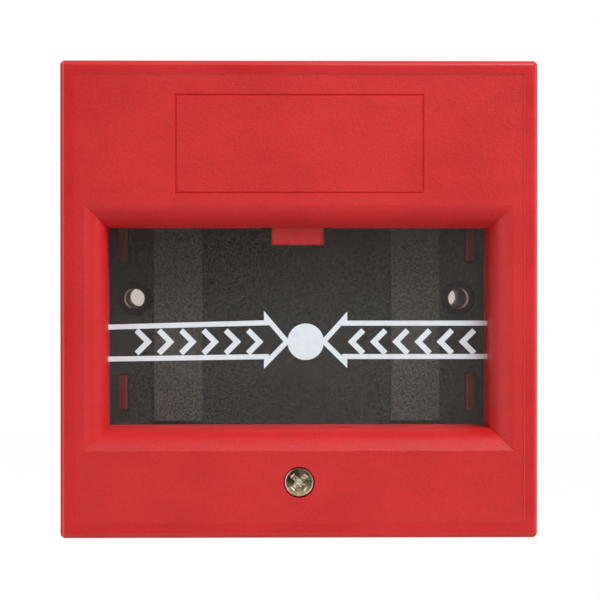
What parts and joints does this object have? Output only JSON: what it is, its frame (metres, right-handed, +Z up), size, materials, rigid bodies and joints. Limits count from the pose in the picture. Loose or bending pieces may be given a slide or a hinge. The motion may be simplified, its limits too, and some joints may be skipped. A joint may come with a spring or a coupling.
{
  "type": "manual call point",
  "caption": "Square wall-mounted break-glass fire call point: red cover with a recessed window over a glass pane, on a surface back box with a spring-loaded trip lever and microswitch.",
  "frame": {"origin": "middle of the back box's wall face", "axes": "+X to the right seen from the front, +Y into the wall, +Z up; the front faces -Y"},
  "size_m": [0.086, 0.053, 0.086],
  "materials": {
    "red_plastic": "fine grain, satin",
    "black_plastic": "fine grain",
    "brass": "satin",
    "glass": "clear",
    "film": "clear film with a printed pictogram",
    "zinc_steel": "yellow zinc plated",
    "steel": "satin",
    "switch_plastic": "satin",
    "plunger_plastic": "satin",
    "board": "solder resist",
    "green_plastic": "satin"
  },
  "bodies": {
    "base": {"back_box": "red_plastic", "base_plate": "black_plastic", "threaded_insert": "brass", "pivot_pin": "steel", "trip_spring": "steel", "switch_body": "switch_plastic", "switch_lid": "switch_plastic", "switch_rivets": "brass", "terminal_common": "brass", "terminal_open": "brass", "terminal_closed": "brass", "circuit_board": "board", "board_screws": "steel", "terminal_block": "green_plastic", "clamp_cages": "steel", "clamp_screws": "steel"},
    "cover": {"front_cover": "red_plastic", "glass_frame": "red_plastic", "glass_pane": "glass", "legend_film": "film"},
    "cover_screw": {"cover_screw": "zinc_steel"},
    "trip_lever": {"trip_lever": "red_plastic"},
    "switch_plunger": {"switch_plunger": "plunger_plastic"},
    "switch_blade": {"switch_blade": "brass"}
  },
  "joints": [
    {"name": "cover_hinge", "type": "hinge", "parent": "base", "child": "cover", "pos_m": [0, -0.031, 0.043], "axis": [-1, 0, 0], "range_deg": [0, 75]},
    {"name": "cover_screw_slide", "type": "slide", "parent": "cover", "child": "cover_screw", "axis": [0, -1, 0], "range_m": [0, 0.009]},
    {"name": "trip_hinge", "type": "hinge", "parent": "base", "child": "trip_lever", "pos_m": [0, -0.039, 0.027], "axis": [-1, 0, 0], "range_deg": [0, 8]},
    {"name": "plunger_slide", "type": "slide", "parent": "base", "child": "switch_plunger", "axis": [0, -1, 0], "range_m": [0, 0.00075]},
    {"name": "blade_hinge", "type": "hinge", "parent": "base", "child": "switch_blade", "pos_m": [0.0099, -0.03105, 0.0206], "axis": [0, 0, 1], "range_deg": [0, 2.5]}
  ],
  "couplings": [
    {"joint": "trip_hinge", "follows": "cover_hinge", "ratio": 0.10667},
    {"joint": "plunger_slide", "follows": "cover_hinge", "m_per_rad": 0.00057296},
    {"joint": "blade_hinge", "follows": "cover_hinge", "ratio": 0.033333}
  ]
}
